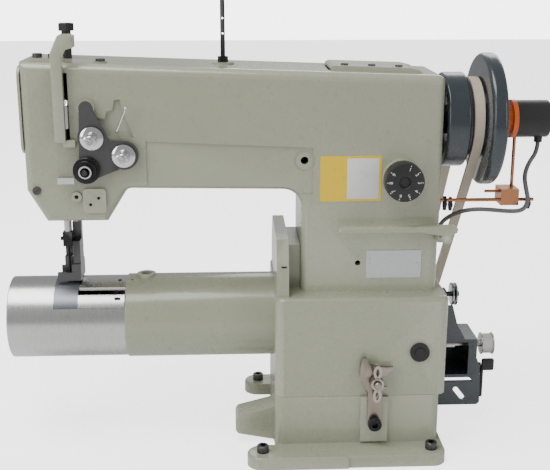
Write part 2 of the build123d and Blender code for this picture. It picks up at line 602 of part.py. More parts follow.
with BuildPart() as rotary_hook:
    disc(face_x(-290, 0, TUBE_Z), 30, 16)
    disc(face_x(-290, 0, TUBE_Z), 26, 12, Mode.SUBTRACT)
    disc(face_x(-300, 0, TUBE_Z), HOOK_SHAFT_R, 40, Mode.SUBTRACT)
save(rotary_hook.part, "rotary_hook")

with BuildPart() as bobbin_case:
    ring(face_x(-289, 0, TUBE_Z), 25.6, HOOK_SHAFT_R + 1, 9)
save(bobbin_case.part, "bobbin_case")

with BuildPart() as hook_shaft:
    disc(face_x(-278, 0, TUBE_Z), HOOK_SHAFT_R, 386)
    disc(face_x(TIMING_X, 0, TUBE_Z), TIMING_LOW_R, TIMING_W)
save(hook_shaft.part, "hook_shaft")

with BuildPart() as shaft_bearings:
    ring(face_x(CHAMBER[1], 0, SHAFT_Z), 13, SHAFT_R + RUN, WEB_RIGHT - CHAMBER[1])
    ring(face_x(92, 0, SHAFT_Z), 13, SHAFT_R + RUN, ARM_RIGHT - 92)
    ring(face_x(-240, 0, TUBE_Z), TUBE_BORE, HOOK_SHAFT_R + RUN, 10)
    ring(face_x(BED_RIGHT - WALL, 0, TUBE_Z), 14, HOOK_SHAFT_R + RUN, WALL)
save(shaft_bearings.part, "shaft_bearings")

# ---------------------------------------------------------------- main shaft and wheels
ROTOR_X = 184.5
with BuildPart() as main_shaft:
    disc(face_x(-270, 0, SHAFT_Z), SHAFT_R, ROTOR_X + 270)
    disc(face_x(TIMING_X, 0, SHAFT_Z), TIMING_UP_R, TIMING_W)
save(main_shaft.part, "main_shaft")

with BuildPart() as needle_crank:
    disc(face_x(-282, 0, SHAFT_Z), 22, 12)
    disc(face_x(-270, 0, SHAFT_Z), 11, 7)
    disc(face_x(-270, 0, SHAFT_Z), SHAFT_R, 8, Mode.SUBTRACT)
    disc(face_x(-282, 0, SHAFT_Z - 15), 4, -6)
save(needle_crank.part, "needle_crank")

with BuildPart() as small_wheel:
    disc(face_x(SMALL_WHEEL_X, 0, SHAFT_Z), SMALL_WHEEL_R, SMALL_WHEEL_W)
    fillet(small_wheel.edges().group_by(Axis.X)[0] + small_wheel.edges().group_by(Axis.X)[-1], 3)
    ring(face_x(SMALL_WHEEL_X, 0, SHAFT_Z), 44, 16, 8, Mode.SUBTRACT)
    disc(face_x(SMALL_WHEEL_X - 1, 0, SHAFT_Z), SHAFT_R, SMALL_WHEEL_W + 2, Mode.SUBTRACT)
save(small_wheel.part, "small_wheel")

with BuildPart() as hand_wheel:
    pulley_left = SMALL_WHEEL_X + SMALL_WHEEL_W
    disc(face_x(pulley_left, 0, SHAFT_Z), PULLEY_R, HAND_WHEEL_X - pulley_left)
    disc(face_x(HAND_WHEEL_X, 0, SHAFT_Z), HAND_WHEEL_R, HAND_WHEEL_W)
    fillet(hand_wheel.edges().filter_by(GeomType.CIRCLE).group_by(SortBy.RADIUS)[-1], 5)
    ring(face_x(HAND_WHEEL_X + HAND_WHEEL_W, 0, SHAFT_Z), 62, 20, -6, Mode.SUBTRACT)
    disc(face_x(pulley_left - 1, 0, SHAFT_Z), SHAFT_R, 60, Mode.SUBTRACT)
save(hand_wheel.part, "hand_wheel")

with BuildPart() as sync_rotor:
    disc(face_x(ROTOR_X, 0, SHAFT_Z), 21, 5)
    ring(face_x(HAND_WHEEL_X + HAND_WHEEL_W, 0, SHAFT_Z), 15, SHAFT_R, ROTOR_X - HAND_WHEEL_X - HAND_WHEEL_W)
save(sync_rotor.part, "sync_rotor")

HOUSING_BOTTOM, LEAD_X = SHAFT_Z - 26.0, 218.0
with BuildPart() as sync_housing:
    disc(face_x(ROTOR_X + 5 + GAP, 0, SHAFT_Z), 20.5, 37)
    fillet(sync_housing.edges().group_by(Axis.X)[-1], 2)
    disc(face_up(HOUSING_BOTTOM, LEAD_X, 0), 4.5, 8)
save(sync_housing.part, "sync_housing")

with BuildPart() as sync_bracket:
    disc(face_up(280, 191.5, 0), 1.9, SHAFT_Z - 19.5 - 280)
    disc(face_x(ARM_RIGHT - 4.8, -20, ROD_Z), 2.0, 115)
    disc(face_x(158, -12, 284), 1.6, 22)
    block((174, 194), (-23, 3), (270, 288))
save(sync_bracket.part, "sync_bracket")


def belt_loop(x, width, thick, upper, lower):
    """Closed belt round two circles, each given as (y, z, radius)."""
    plane = face_x(x)
    outer = hull_of(plane, upper[:2], upper[2] + thick, lower[:2], lower[2] + thick)
    inner = hull_of(plane, upper[:2], upper[2], lower[:2], lower[2])
    with BuildPart() as belt:
        extrude(outer, amount=width)
        extrude(inner, amount=width, mode=Mode.SUBTRACT)
    return belt.part


LOOP_Z = LOOP_R + BELT_T + GAP
drive_belt = belt_loop(BELT_X, BELT_W, BELT_T, (0, SHAFT_Z, PULLEY_R + GAP), (LOOP_Y, LOOP_Z, LOOP_R))
save(drive_belt, "drive_belt")
timing_belt = belt_loop(TIMING_X, TIMING_W, TIMING_T, (0, SHAFT_Z, TIMING_UP_R + GAP),
                        (0, TUBE_Z, TIMING_LOW_R + GAP))
save(timing_belt, "timing_belt")

# ---------------------------------------------------------------- needle and feet
BED_SURFACE = TUBE_Z + SLEEVE_R
with BuildPart() as needle_bar:
    disc(face_up(238, NEEDLE_X, NEEDLE_Y), BAR_R, 385 - 238)
save(needle_bar.part, "needle_bar")

with BuildPart() as needle_clamp:
    block((NEEDLE_X - 5, NEEDLE_X + 5), (NEEDLE_Y - 5, NEEDLE_Y + 5), (226, 242))
    disc(face_up(230, NEEDLE_X, NEEDLE_Y), BAR_R, 20, Mode.SUBTRACT)
    disc(face_x(NEEDLE_X - 8, NEEDLE_Y, 234), 2.2, 3.5)
    with BuildSketch(face_up(226, NEEDLE_X, NEEDLE_Y)):
        Circle(1.1)
    extrude(amount=-44)
    with BuildSketch(face_up(182, NEEDLE_X, NEEDLE_Y)):
        Circle(1.1)
    extrude(amount=-8, taper=7)
save(needle_clamp.part, "needle_clamp")

with BuildPart() as inner_foot:
    disc(face_up(222, WALK_X, WALK_Y), BAR_R, 380 - 222)
    block((WALK_X - 4, WALK_X + 4), (WALK_Y - 4, WALK_Y + 4), (206, 236))
    block((WALK_X - 4, WALK_X + 4), (-4.3, WALK_Y + 4), (200, 212))
    block((WALK_X - 4, WALK_X + 4), (-4.3, 7), (BED_SURFACE + 1.6, 202))
save(inner_foot.part, "inner_foot")

with BuildPart() as presser_bar:
    disc(face_up(238, PRESS_X, PRESS_Y), BAR_R, 414 - 238)
save(presser_bar.part, "presser_bar")

with BuildPart() as outer_foot:
    block((PRESS_X - 4, PRESS_X + 5.5), (1, 11), (228, 250))
    disc(face_up(238, PRESS_X, PRESS_Y), BAR_R, 30, Mode.SUBTRACT)
    block((PRESS_X - 2.2, PRESS_X + 5.5), (-14, 11), (204, 232))
    block((-318, PRESS_X + 5.5), (-16, -11.5), (BED_SURFACE + 0.8, 196))
    block((-302, PRESS_X + 5.5), (-16, 16), (BED_SURFACE + 0.8, 206))
    block((-318, PRESS_X + 5.5), (13, 16), (BED_SURFACE + 0.8, 196))
save(outer_foot.part, "outer_foot")

with BuildPart() as presser_spring_knob:
    knob_z = arm_top(PRESS_X) + 29
    disc(face_up(422, PRESS_X, PRESS_Y), 5, knob_z - 422)
    with BuildSketch(face_up(knob_z, PRESS_X, PRESS_Y)):
        Circle(7.4)
        with PolarLocations(5.0, 5):
            Circle(3.4)
    extrude(amount=8)
    fillet(presser_spring_knob.edges().group_by(Axis.Z)[-1], 1)
save(presser_spring_knob.part, "presser_spring_knob")

with BuildPart() as hand_lifter:
    with BuildSketch(face_front(ARM_HALF + 8)):
        with BuildLine():
            Polyline((-268, 314), (-258, 326), (-214, 296), (-214, 284), (-226, 286), (-268, 314))
        make_face()
        with Locations((-262, 318)):
            Circle(9)
            Circle(4 + RUN, mode=Mode.SUBTRACT)
    extrude(amount=6)
save(hand_lifter.part, "hand_lifter")

# ---------------------------------------------------------------- bobbin winder
WIND_LEFT, WIND_FRONT, WIND_REAR = 112.0, -6.0, 46.0
POST_Z = 154.0                # thread post of the winder
FLANGE_X = 158.0              # flange that carries the spindle


def front_sheet(*outline):
    """Flat piece of the winder's sheet, parallel to the front."""
    with BuildSketch(face_front(WIND_FRONT + SHEET)) as shape:
        with BuildLine():
            Polyline(*outline, outline[0])
        make_face()
    extrude(shape.sketch, amount=SHEET)


with BuildPart() as winder_bracket:
    block((BASE_RIGHT, WIND_LEFT + 2), (0, 44), (18, 60))
    block((WIND_LEFT, WIND_LEFT + 5), (WIND_FRONT, WIND_REAR), (22, 105))
    block((WIND_LEFT + 4, FLANGE_X + 2), (WIND_FRONT, WIND_REAR), (101, 105))
    block((WIND_LEFT + 4, FLANGE_X + 2), (WIND_REAR - SHEET, WIND_REAR), (57, 105))
    block((FLANGE_X, FLANGE_X + SHEET), (WIND_FRONT, WIND_REAR), (57, 105))
    block((WIND_LEFT + 4, FLANGE_X + 2), (WIND_FRONT, WIND_REAR), (57, 61))
    front_sheet((112, 101), (112, 140), (120, 146), (131, 146.5), (137, 124), (147, 105.5), (147, 101))
    front_sheet((152, 103), (160, 103), (160, 86), (166, 72.5), (168, 40), (168, 36), (160, 51), (152, 59))
    front_sheet((112, 52), (160, 52), (168, 38), (168, 25), (165, 22), (112, 22))
    with BuildSketch(face_front(WIND_FRONT - 1, 143, 36.5)) as slot:
        SlotOverall(20, 6, rotation=-52)
    extrude(slot.sketch, amount=-SHEET - 2, mode=Mode.SUBTRACT)
    block((WIND_LEFT, 124), (WIND_FRONT + 2, 22), (140, 147))
    block((WIND_LEFT, 126), (10, 22), (140, 160))
    disc(face_x(125, 16, POST_Z), 3, 17)
    for disc_x in (132.5, 136.5):
        ring(face_x(disc_x, 16, POST_Z), 13, 3, 2)
    disc(face_x(FLANGE_X - 1, WIND_Y, WIND_Z), 4 + RUN, SHEET + 2, Mode.SUBTRACT)
    disc(face_x(FLANGE_X + SHEET, WIND_Y, TRIP_Z), 3, 12)
save(winder_bracket.part, "winder_bracket")

BOBBIN_X = 172.0
with BuildPart() as winder_spindle:
    disc(face_x(126, WIND_Y, WIND_Z), 4, 62)
    disc(face_x(130, WIND_Y, WIND_Z), 6.5, 10)
save(winder_spindle.part, "winder_spindle")

with BuildPart() as winder_bobbin:
    ring(face_x(BOBBIN_X, WIND_Y, WIND_Z), 13, 4, 1.5)
    ring(face_x(BOBBIN_X + 1.5, WIND_Y, WIND_Z), 11.5, 4, 11.5)
    ring(face_x(BOBBIN_X + 13, WIND_Y, WIND_Z), 13, 4, 1.5)
save(winder_bobbin.part, "winder_bobbin")

with BuildPart() as winder_lever:
    ring(face_x(FLANGE_X + SHEET + GAP, WIND_Y, TRIP_Z), 6, 3 + RUN, 6)
    block((163, 171.5), (0, WIND_Y - 5.7), (59, 65))
    block((168.6, 172), (-3, 2), (30, 70))
    block((169, 184), (-5, 1), (64, 79))
save(winder_lever.part, "winder_lever")

# ---------------------------------------------------------------- synchroniser lead
LEAD_ROUTE = ((LEAD_X, 0, HOUSING_BOTTOM), (LEAD_X, 0, 326), (208, -3, 313), (201, -14, 301),
              (200, -28, 289), (202, -33, 277), (197, -32, 266), (183, -27, 264), (164, -22, 265),
              (146, -20, 265.5), (131, -13, 261), (119, 1, 250), (116, 20, 236), (116, 40, 222),
              (117, 62, 204), (117, 86, 178), (114, 104, 144), (111, 116, 108), (104, 124, 68), (103, 140, 34),
              (106, 160, 11), (108, 181, 4), (99, 198, 3.2), (82, 203, 3.6), (67, 202.5, 4.5))
COIL_X, COIL_Y, COIL_MID_R = 45.0, 175.0, 27.5


def bend_radii(points):
    """The largest arc that each corner's shorter run allows."""
    radii = []
    for before, at, after in zip(points, points[1:], points[2:]):
        first = Vector(*at) - Vector(*before)
        second = Vector(*after) - Vector(*at)
        half_turn = math.radians(first.get_angle(second)) / 2
        radii.append(0.45 * min(first.length, second.length) / math.tan(half_turn))
    return radii


LEAD_RADII = bend_radii(LEAD_ROUTE)
print("lead bend radii", [round(radius, 1) for radius in LEAD_RADII])
with BuildPart() as sync_lead:
    with BuildLine() as lead_path:
        FilletPolyline(*LEAD_ROUTE, radius=LEAD_RADII)
    start = Vector(*LEAD_ROUTE[1]) - Vector(*LEAD_ROUTE[0])
    with BuildSketch(Plane(origin=LEAD_ROUTE[0], z_dir=start)):
        Circle(LEAD_R)
    sweep()
LEAD_LENGTH = lead_path.wires()[0].length
print("lead length", LEAD_LENGTH, "volume ratio", sync_lead.part.volume / (math.pi * LEAD_R ** 2 * LEAD_LENGTH))
save(sync_lead.part, "sync_lead")

with BuildPart() as lead_coil:
    ring(face_up(0.2, COIL_X, COIL_Y), COIL_MID_R + 7.5, COIL_MID_R - 7.5, 10)
save(lead_coil.part, "lead_coil")

with BuildPart() as lead_plug:
    block((66, 92), (COIL_Y - COIL_MID_R - 9, COIL_Y - COIL_MID_R + 9), (0.2, 12.2))
    fillet(lead_plug.edges().filter_by(Axis.X), 2)
save(lead_plug.part, "lead_plug")
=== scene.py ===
# %% [markdown]
# # A leather sewing machine, finished in Blender
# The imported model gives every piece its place. This lesson paints and details it: camera and
# light first, then the one free cord, then the finishes, and at last the small pieces that
# a close look would miss.

# %% Load the frame
import bmesh
import bpy
import json
import math
from mathutils import Matrix, Vector


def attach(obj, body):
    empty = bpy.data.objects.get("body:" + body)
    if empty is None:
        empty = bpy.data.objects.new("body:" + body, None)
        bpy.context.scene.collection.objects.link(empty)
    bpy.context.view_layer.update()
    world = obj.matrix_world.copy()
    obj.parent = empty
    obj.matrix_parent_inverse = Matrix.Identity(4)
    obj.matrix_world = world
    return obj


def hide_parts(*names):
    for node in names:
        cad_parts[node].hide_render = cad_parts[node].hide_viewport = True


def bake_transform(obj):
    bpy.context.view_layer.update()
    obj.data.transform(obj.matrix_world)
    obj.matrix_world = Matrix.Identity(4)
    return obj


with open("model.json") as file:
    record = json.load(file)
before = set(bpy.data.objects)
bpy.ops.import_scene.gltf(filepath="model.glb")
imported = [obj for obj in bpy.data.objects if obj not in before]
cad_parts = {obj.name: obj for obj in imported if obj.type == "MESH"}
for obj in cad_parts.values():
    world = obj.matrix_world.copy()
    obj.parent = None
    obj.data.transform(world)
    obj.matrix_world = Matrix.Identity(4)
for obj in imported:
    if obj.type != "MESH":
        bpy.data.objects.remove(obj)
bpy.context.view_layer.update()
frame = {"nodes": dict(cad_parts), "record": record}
nodes = frame["nodes"]
MM = 0.001

# %% [markdown]
# ## Camera, floor and light
# A product picture is taken a little above the machine with a long lens, so that its lines
# stay nearly parallel. The look-at turn is worked out from two points, which is easier to
# read than three angles.

# %% Camera
CAMERA_AT = Vector((-0.1220, -1.0660, 0.5290))
LOOK_AT = Vector((-0.0750, 0.0, 0.2326))
SENSOR_MM = 36.0
LENS_MM = 64.15

camera_data = bpy.data.cameras.new("camera")
camera_data.sensor_width = SENSOR_MM
camera_data.lens = LENS_MM
camera = bpy.data.objects.new("camera", camera_data)
camera.location = CAMERA_AT
camera.rotation_euler = (LOOK_AT - CAMERA_AT).to_track_quat("-Z", "Y").to_euler()
bpy.context.collection.objects.link(camera)
bpy.context.scene.camera = camera
view_line = LOOK_AT - CAMERA_AT
print("camera looks down", round(math.degrees(math.asin(-view_line.z / view_line.length)), 1))


# %% Studio floor and lights
FLOOR_GLOW, SKY_SEEN, SKY_LIGHT = 2.2, 4.5, 0.45


def seen_only_by_camera(tree, strength):
    """A strength that only camera rays meet, so that the ground stays white but lights nothing."""
    path = tree.nodes.new("ShaderNodeLightPath")
    times = tree.nodes.new("ShaderNodeMath")
    times.operation = "MULTIPLY"
    times.inputs[1].default_value = strength
    tree.links.new(path.outputs["Is Camera Ray"], times.inputs[0])
    return times.outputs[0]


def floor_material():
    material = bpy.data.materials.new("floor_paper")
    material.use_nodes = True
    shader = material.node_tree.nodes["Principled BSDF"]
    shader.inputs["Base Color"].default_value = (0.93, 0.93, 0.93, 1)
    shader.inputs["Roughness"].default_value = 0.9
    shader.inputs["Emission Color"].default_value = (1, 1, 1, 1)
    material.node_tree.links.new(seen_only_by_camera(material.node_tree, FLOOR_GLOW),
                                 shader.inputs["Emission Strength"])
    return material


def studio_floor():
    shape = bmesh.new()
    bmesh.ops.create_grid(shape, x_segments=2, y_segments=2, size=6.0)
    mesh = bpy.data.meshes.new("floor")
    shape.to_mesh(mesh)
    shape.free()
    floor = bpy.data.objects.new("floor", mesh)
    bpy.context.collection.objects.link(floor)
    floor.data.materials.append(floor_material())


def area_light(name, at, towards, size, power):
    data = bpy.data.lights.new(name, "AREA")
    data.shape = "RECTANGLE"
    data.size, data.size_y = size
    data.energy = power
    lamp = bpy.data.objects.new(name, data)
    lamp.location = at
    lamp.rotation_euler = (Vector(towards) - Vector(at)).to_track_quat("-Z", "Y").to_euler()
    bpy.context.collection.objects.link(lamp)


studio_floor()
area_light("key_top", (-0.7, -0.4, 1.9), (-0.05, 0.0, 0.25), (1.5, 0.9), 30)
area_light("front_left", (-1.6, -1.3, 0.9), (-0.1, 0.0, 0.25), (0.7, 1.3), 12)
area_light("front_right", (1.5, -1.3, 0.8), (0.0, 0.0, 0.25), (0.6, 1.2), 6)
area_light("rim_back", (0.6, 1.7, 1.3), (0.0, 0.0, 0.3), (1.6, 0.8), 12)
world = bpy.data.worlds.new("studio")
world.use_nodes = True
sky = world.node_tree.nodes["Background"]
sky.inputs["Color"].default_value = (1, 1, 1, 1)
lift = world.node_tree.nodes.new("ShaderNodeMath")
lift.inputs[1].default_value = SKY_LIGHT
world.node_tree.links.new(seen_only_by_camera(world.node_tree, SKY_SEEN), lift.inputs[0])
world.node_tree.links.new(lift.outputs[0], sky.inputs["Strength"])
bpy.context.scene.world = world

# %% [markdown]
# ## Effects that several finishes share
# A finish is never one flat colour. Three node groups hold what repeats: a slow change of
# tone, the orange-peel skin of sprayed enamel, and the fine lines that a grinding belt
# leaves. Each puts out a mask or a height only, and the shader itself stays in the material.

# %% Node group helpers
def new_group(name, inputs, outputs):
    group = bpy.data.node_groups.new(name, "ShaderNodeTree")
    for label, value in inputs:
        socket = group.interface.new_socket(name=label, in_out="INPUT", socket_type="NodeSocketFloat")
        socket.default_value = value
    for label in outputs:
        group.interface.new_socket(name=label, in_out="OUTPUT", socket_type="NodeSocketFloat")
    tree = group.nodes
    return group, tree.new("NodeGroupInput"), tree.new("NodeGroupOutput")


def math_node(tree, operation, first, second):
    """A Math node whose inputs are sockets or plain numbers."""
    node = tree.nodes.new("ShaderNodeMath")
    node.operation = operation
    for slot, value in enumerate((first, second)):
        if isinstance(value, (int, float)):
            node.inputs[slot].default_value = value
        else:
            tree.links.new(value, node.inputs[slot])
    return node.outputs[0]


def noise_node(tree, coordinates, scale, detail=4.0, roughness=0.5):
    node = tree.nodes.new("ShaderNodeTexNoise")
    tree.links.new(coordinates, node.inputs["Vector"])
    if isinstance(scale, (int, float)):
        node.inputs["Scale"].default_value = scale
    else:
        tree.links.new(scale, node.inputs["Scale"])
    node.inputs["Detail"].default_value = detail
    node.inputs["Roughness"].default_value = roughness
    return node.outputs["Fac"]


# %% Shared groups
def tone_group():
    """Slow patches of tone, with a finer dirt mask and the worn edges."""
    group, given, result = new_group("surface_tone", (("Patch Scale", 9.0), ("Dirt Scale", 140.0)),
                                     ("Patch", "Dirt", "Edge"))
    place = group.nodes.new("ShaderNodeTexCoord").outputs["Object"]
    group.links.new(noise_node(group, place, given.outputs["Patch Scale"], 3.0), result.inputs["Patch"])
    speck = noise_node(group, place, given.outputs["Dirt Scale"], 6.0, 0.65)
    rare = math_node(group, "MULTIPLY", math_node(group, "SUBTRACT", speck, 0.58), 6.0)
    group.links.new(math_node(group, "MAXIMUM", rare, 0.0), result.inputs["Dirt"])
    pointed = group.nodes.new("ShaderNodeNewGeometry").outputs["Pointiness"]
    edge = math_node(group, "MULTIPLY", math_node(group, "SUBTRACT", pointed, 0.53), 9.0)
    group.links.new(math_node(group, "MAXIMUM", edge, 0.0), result.inputs["Edge"])
    return group


def peel_group():
    """The bumpy skin of thick sprayed enamel on a rough casting."""
    group, given, result = new_group("enamel_peel", (("Size", 260.0), ("Pits", 0.35)), ("Height",))
    place = group.nodes.new("ShaderNodeTexCoord").outputs["Object"]
    cells = group.nodes.new("ShaderNodeTexVoronoi")
    cells.feature = "SMOOTH_F1"
    group.links.new(place, cells.inputs["Vector"])
    group.links.new(given.outputs["Size"], cells.inputs["Scale"])
    waves = noise_node(group, place, math_node(group, "MULTIPLY", given.outputs["Size"], 0.45), 2.0)
    pits = math_node(group, "MULTIPLY", cells.outputs["Distance"], given.outputs["Pits"])
    mixed = math_node(group, "ADD", pits, waves)
    group.links.new(mixed, result.inputs["Height"])
    return group


def grind_group():
    """Fine parallel lines; the axis that is stretched least is the one the lines cross."""
    group, given, result = new_group("ground_lines", (("Across X", 40.0), ("Across Y", 900.0),
                                                      ("Across Z", 900.0)), ("Lines",))
    place = group.nodes.new("ShaderNodeTexCoord").outputs["Object"]
    stretch = group.nodes.new("ShaderNodeCombineXYZ")
    for axis in "XYZ":
        group.links.new(given.outputs[f"Across {axis}"], stretch.inputs[axis])
    scaled = group.nodes.new("ShaderNodeVectorMath")
    scaled.operation = "MULTIPLY"
    group.links.new(place, scaled.inputs[0])
    group.links.new(stretch.outputs[0], scaled.inputs[1])
    group.links.new(noise_node(group, scaled.outputs[0], 1.0, 3.0), result.inputs["Lines"])
    return group


TONE, PEEL, GRIND = tone_group(), peel_group(), grind_group()
print("shared groups", [group.name for group in (TONE, PEEL, GRIND)])

# %% [markdown]
# ## The finishes
# Paint, ground steel, black oxide, plastic and leather differ in four things: colour, how
# that colour drifts, how rough the skin is, and what its small bumps look like. One builder
# takes these four, so each finish below is a short line that can be compared with the next.

# %% One builder for all finishes
def use_group(tree, group, **values):
    node = tree.nodes.new("ShaderNodeGroup")
    node.node_tree = group
    for label, value in values.items():
        node.inputs[label.replace("_", " ")].default_value = value
    return node


def colour_mix(tree, factor, first, second):
    node = tree.nodes.new("ShaderNodeMix")
    node.data_type = "RGBA"
    tree.links.new(factor, node.inputs["Factor"])
    for slot, value in (("A", first), ("B", second)):
        socket = next(s for s in node.inputs if s.name == slot and s.type == "RGBA")
        if isinstance(value, tuple):
            socket.default_value = (*value, 1)
        else:
            tree.links.new(value, socket)
    return next(s for s in node.outputs if s.type == "RGBA")


def finish_material(name, colour, shade, roughness, metallic=0.0, spread=0.12, wear=None, coat=0.0,
                    height=None, bump=0.1, distance=0.0004, patch_scale=9.0):
    """A finish whose colour drifts from colour to shade, with wear on its edges."""
    material = bpy.data.materials.new(name)
    material.use_nodes = True
    tree = material.node_tree
    shader = tree.nodes["Principled BSDF"]
    tone = use_group(tree, TONE, Patch_Scale=patch_scale)
    surface = colour_mix(tree, tone.outputs["Patch"], colour, shade)
    dirty = tuple(0.45 * channel for channel in shade)
    surface = colour_mix(tree, math_node(tree, "MULTIPLY", tone.outputs["Dirt"], 0.25), surface, dirty)
    if wear:
        surface = colour_mix(tree, math_node(tree, "MINIMUM", tone.outputs["Edge"], 0.5), surface, wear)
    tree.links.new(surface, shader.inputs["Base Color"])
    drift = math_node(tree, "MULTIPLY", math_node(tree, "SUBTRACT", tone.outputs["Patch"], 0.5), spread)
    lines = drift if height is None else math_node(
        tree, "ADD", drift, math_node(tree, "MULTIPLY", math_node(tree, "SUBTRACT", height(tree), 0.5), spread))
    tree.links.new(math_node(tree, "ADD", lines, roughness), shader.inputs["Roughness"])
    shader.inputs["Metallic"].default_value = metallic
    shader.inputs["Coat Weight"].default_value = coat
    shader.inputs["Coat Roughness"].default_value = 0.12
    if height is not None:
        relief = tree.nodes.new("ShaderNodeBump")
        relief.inputs["Strength"].default_value = bump
        relief.inputs["Distance"].default_value = distance
        tree.links.new(height(tree), relief.inputs["Height"])
        tree.links.new(relief.outputs["Normal"], shader.inputs["Normal"])
    return material


def peel(size=260.0, pits=0.35):
    return lambda tree: use_group(tree, PEEL, Size=size, Pits=pits).outputs["Height"]


def ground(x, y, z):
    return lambda tree: use_group(tree, GRIND, Across_X=x, Across_Y=y, Across_Z=z).outputs["Lines"]


def speckle(scale):
    def height(tree):
        place = tree.nodes.new("ShaderNodeTexCoord").outputs["Object"]
        return noise_node(tree, place, scale, 5.0, 0.6)
    return height


FINISH = {
    "cream_paint": finish_material("cream_paint", (0.345, 0.362, 0.262), (0.305, 0.322, 0.228), 0.27, spread=0.10,
                                   wear=(0.44, 0.45, 0.35), coat=0.55, height=peel(), bump=0.42, distance=0.0006),
    "slate_paint": finish_material("slate_paint", (0.024, 0.034, 0.042), (0.018, 0.026, 0.032), 0.28, coat=0.5,
                                   wear=(0.05, 0.065, 0.075), height=peel(420.0, 0.2), bump=0.10),
    "orange_paint": finish_material("orange_paint", (0.80, 0.16, 0.02), (0.68, 0.12, 0.015), 0.4,
                                    height=speckle(900.0), bump=0.08),
    "black_steel": finish_material("black_steel", (0.022, 0.022, 0.024), (0.012, 0.012, 0.014), 0.36, metallic=0.6,
                                   wear=(0.16, 0.16, 0.16), height=speckle(1500.0), bump=0.15),
    "bright_steel": finish_material("bright_steel", (0.60, 0.60, 0.60), (0.50, 0.49, 0.48), 0.27, metallic=1.0,
                                    spread=0.07, height=ground(700.0, 18.0, 18.0), bump=0.05, distance=0.00005),
    "blued_steel": finish_material("blued_steel", (0.075, 0.085, 0.115), (0.040, 0.045, 0.065), 0.33, metallic=0.85,
                                   wear=(0.30, 0.30, 0.32), height=ground(700.0, 90.0, 90.0), bump=0.1),
    "chrome": finish_material("chrome", (0.72, 0.72, 0.72), (0.62, 0.62, 0.63), 0.12, metallic=1.0,
                              height=speckle(700.0), bump=0.04),
    "nickel": finish_material("nickel", (0.36, 0.31, 0.26), (0.24, 0.20, 0.165), 0.30, metallic=1.0,
                              wear=(0.60, 0.56, 0.50), height=speckle(600.0), bump=0.08, patch_scale=60.0),
    "copper_rod": finish_material("copper_rod", (0.58, 0.27, 0.14), (0.44, 0.19, 0.09), 0.25, metallic=1.0,
                                  height=ground(60.0, 900.0, 900.0), bump=0.06),
    "black_plastic": finish_material("black_plastic", (0.016, 0.016, 0.017), (0.010, 0.010, 0.011), 0.45,
                                     height=speckle(2200.0), bump=0.22),
    "grey_plastic": finish_material("grey_plastic", (0.15, 0.15, 0.155), (0.11, 0.11, 0.115), 0.42,
                                    height=speckle(1200.0), bump=0.12),
    "belt_leather": finish_material("belt_leather", (0.52, 0.45, 0.34), (0.40, 0.33, 0.24), 0.62,
                                    wear=(0.58, 0.52, 0.42), height=speckle(1100.0), bump=0.45, patch_scale=30.0),
    "black_rubber": finish_material("black_rubber", (0.014, 0.014, 0.014), (0.009, 0.009, 0.009), 0.55,
                                    height=speckle(1800.0), bump=0.2),
    "plate_aluminium": finish_material("plate_aluminium", (0.60, 0.61, 0.62), (0.52, 0.53, 0.54), 0.38,
                                       metallic=0.75, height=ground(30.0, 500.0, 1400.0), bump=0.08),
    "label_film": finish_material("label_film", (0.80, 0.55, 0.02), (0.74, 0.50, 0.02), 0.35,
                                  height=speckle(800.0), bump=0.04),
    "white_thread": finish_material("white_thread", (0.80, 0.79, 0.76), (0.66, 0.65, 0.61), 0.8,
                                    height=ground(1400.0, 60.0, 60.0), bump=0.6),
    "bronze": finish_material("bronze", (0.48, 0.30, 0.13), (0.36, 0.22, 0.09), 0.3, metallic=1.0,
                              height=ground(800.0, 80.0, 80.0), bump=0.1),
}
FINISH["white_print"] = finish_material("white_print", (0.72, 0.72, 0.70), (0.62, 0.62, 0.60), 0.5,
                                        height=speckle(1000.0), bump=0.04)
print("finishes", len(FINISH))

# %% Every node takes the finish of its slot
for part in frame["record"]["subparts"]:
    target = nodes[part["node"]]
    for slot in target.material_slots:
        slot.material = FINISH[part["material_slot"]]

# %% [markdown]
# ## Making a piece
# Every new piece goes through the same door: a bmesh in millimetres becomes an object in metres at
# the origin, takes its finish and rides on a body.

# %% Piece helper
def piece(name, shape, slot, body, smooth=True, hides=(), finish=None):
    bmesh.ops.scale(shape, vec=(MM, MM, MM), verts=shape.verts)
    bmesh.ops.remove_doubles(shape, verts=shape.verts, dist=1e-7)
    bmesh.ops.recalc_face_normals(shape, faces=shape.faces)
    mesh = bpy.data.meshes.new(name)
    shape.to_mesh(mesh)
    shape.free()
    for polygon in mesh.polygons:
        polygon.use_smooth = smooth
    if smooth:
        mesh.set_sharp_from_angle(angle=math.radians(35))
    made = bpy.data.objects.new(name, mesh)
    bpy.context.collection.objects.link(made)
    mesh.materials.append(FINISH[finish or slot])
    if body is not None:
        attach(made, body)
    if hides:
        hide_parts(*hides)
    return made


AXIS_TURN = {"x": Matrix.Rotation(math.radians(90), 4, "Y"),
             "front": Matrix.Rotation(math.radians(90), 4, "X"),
             "up": Matrix.Identity(4)}


def turned(profile, at, facing="up", steps=48):
    """Spins a profile of (radius, height) points, given in millimetres, and sets it in place."""
    shape = bmesh.new()
    chain = [shape.verts.new((radius, 0, height)) for radius, height in profile]
    edges = [shape.edges.new(pair) for pair in zip(chain, chain[1:])]
    bmesh.ops.spin(shape, geom=chain + edges, cent=(0, 0, 0), axis=(0, 0, 1), angle=2 * math.pi,
                   steps=steps, use_merge=True)
    bmesh.ops.remove_doubles(shape, verts=shape.verts, dist=1e-4)
    bmesh.ops.transform(shape, matrix=Matrix.Translation(at) @ AXIS_TURN[facing], verts=shape.verts)
    return shape


def joined(*shapes):
    """Adds bmeshes together into the first."""
    whole = shapes[0]
    for other in shapes[1:]:
        carrier = bpy.data.meshes.new("carrier")
        other.to_mesh(carrier)
        other.free()
        whole.from_mesh(carrier)
        bpy.data.meshes.remove(carrier)
    return whole


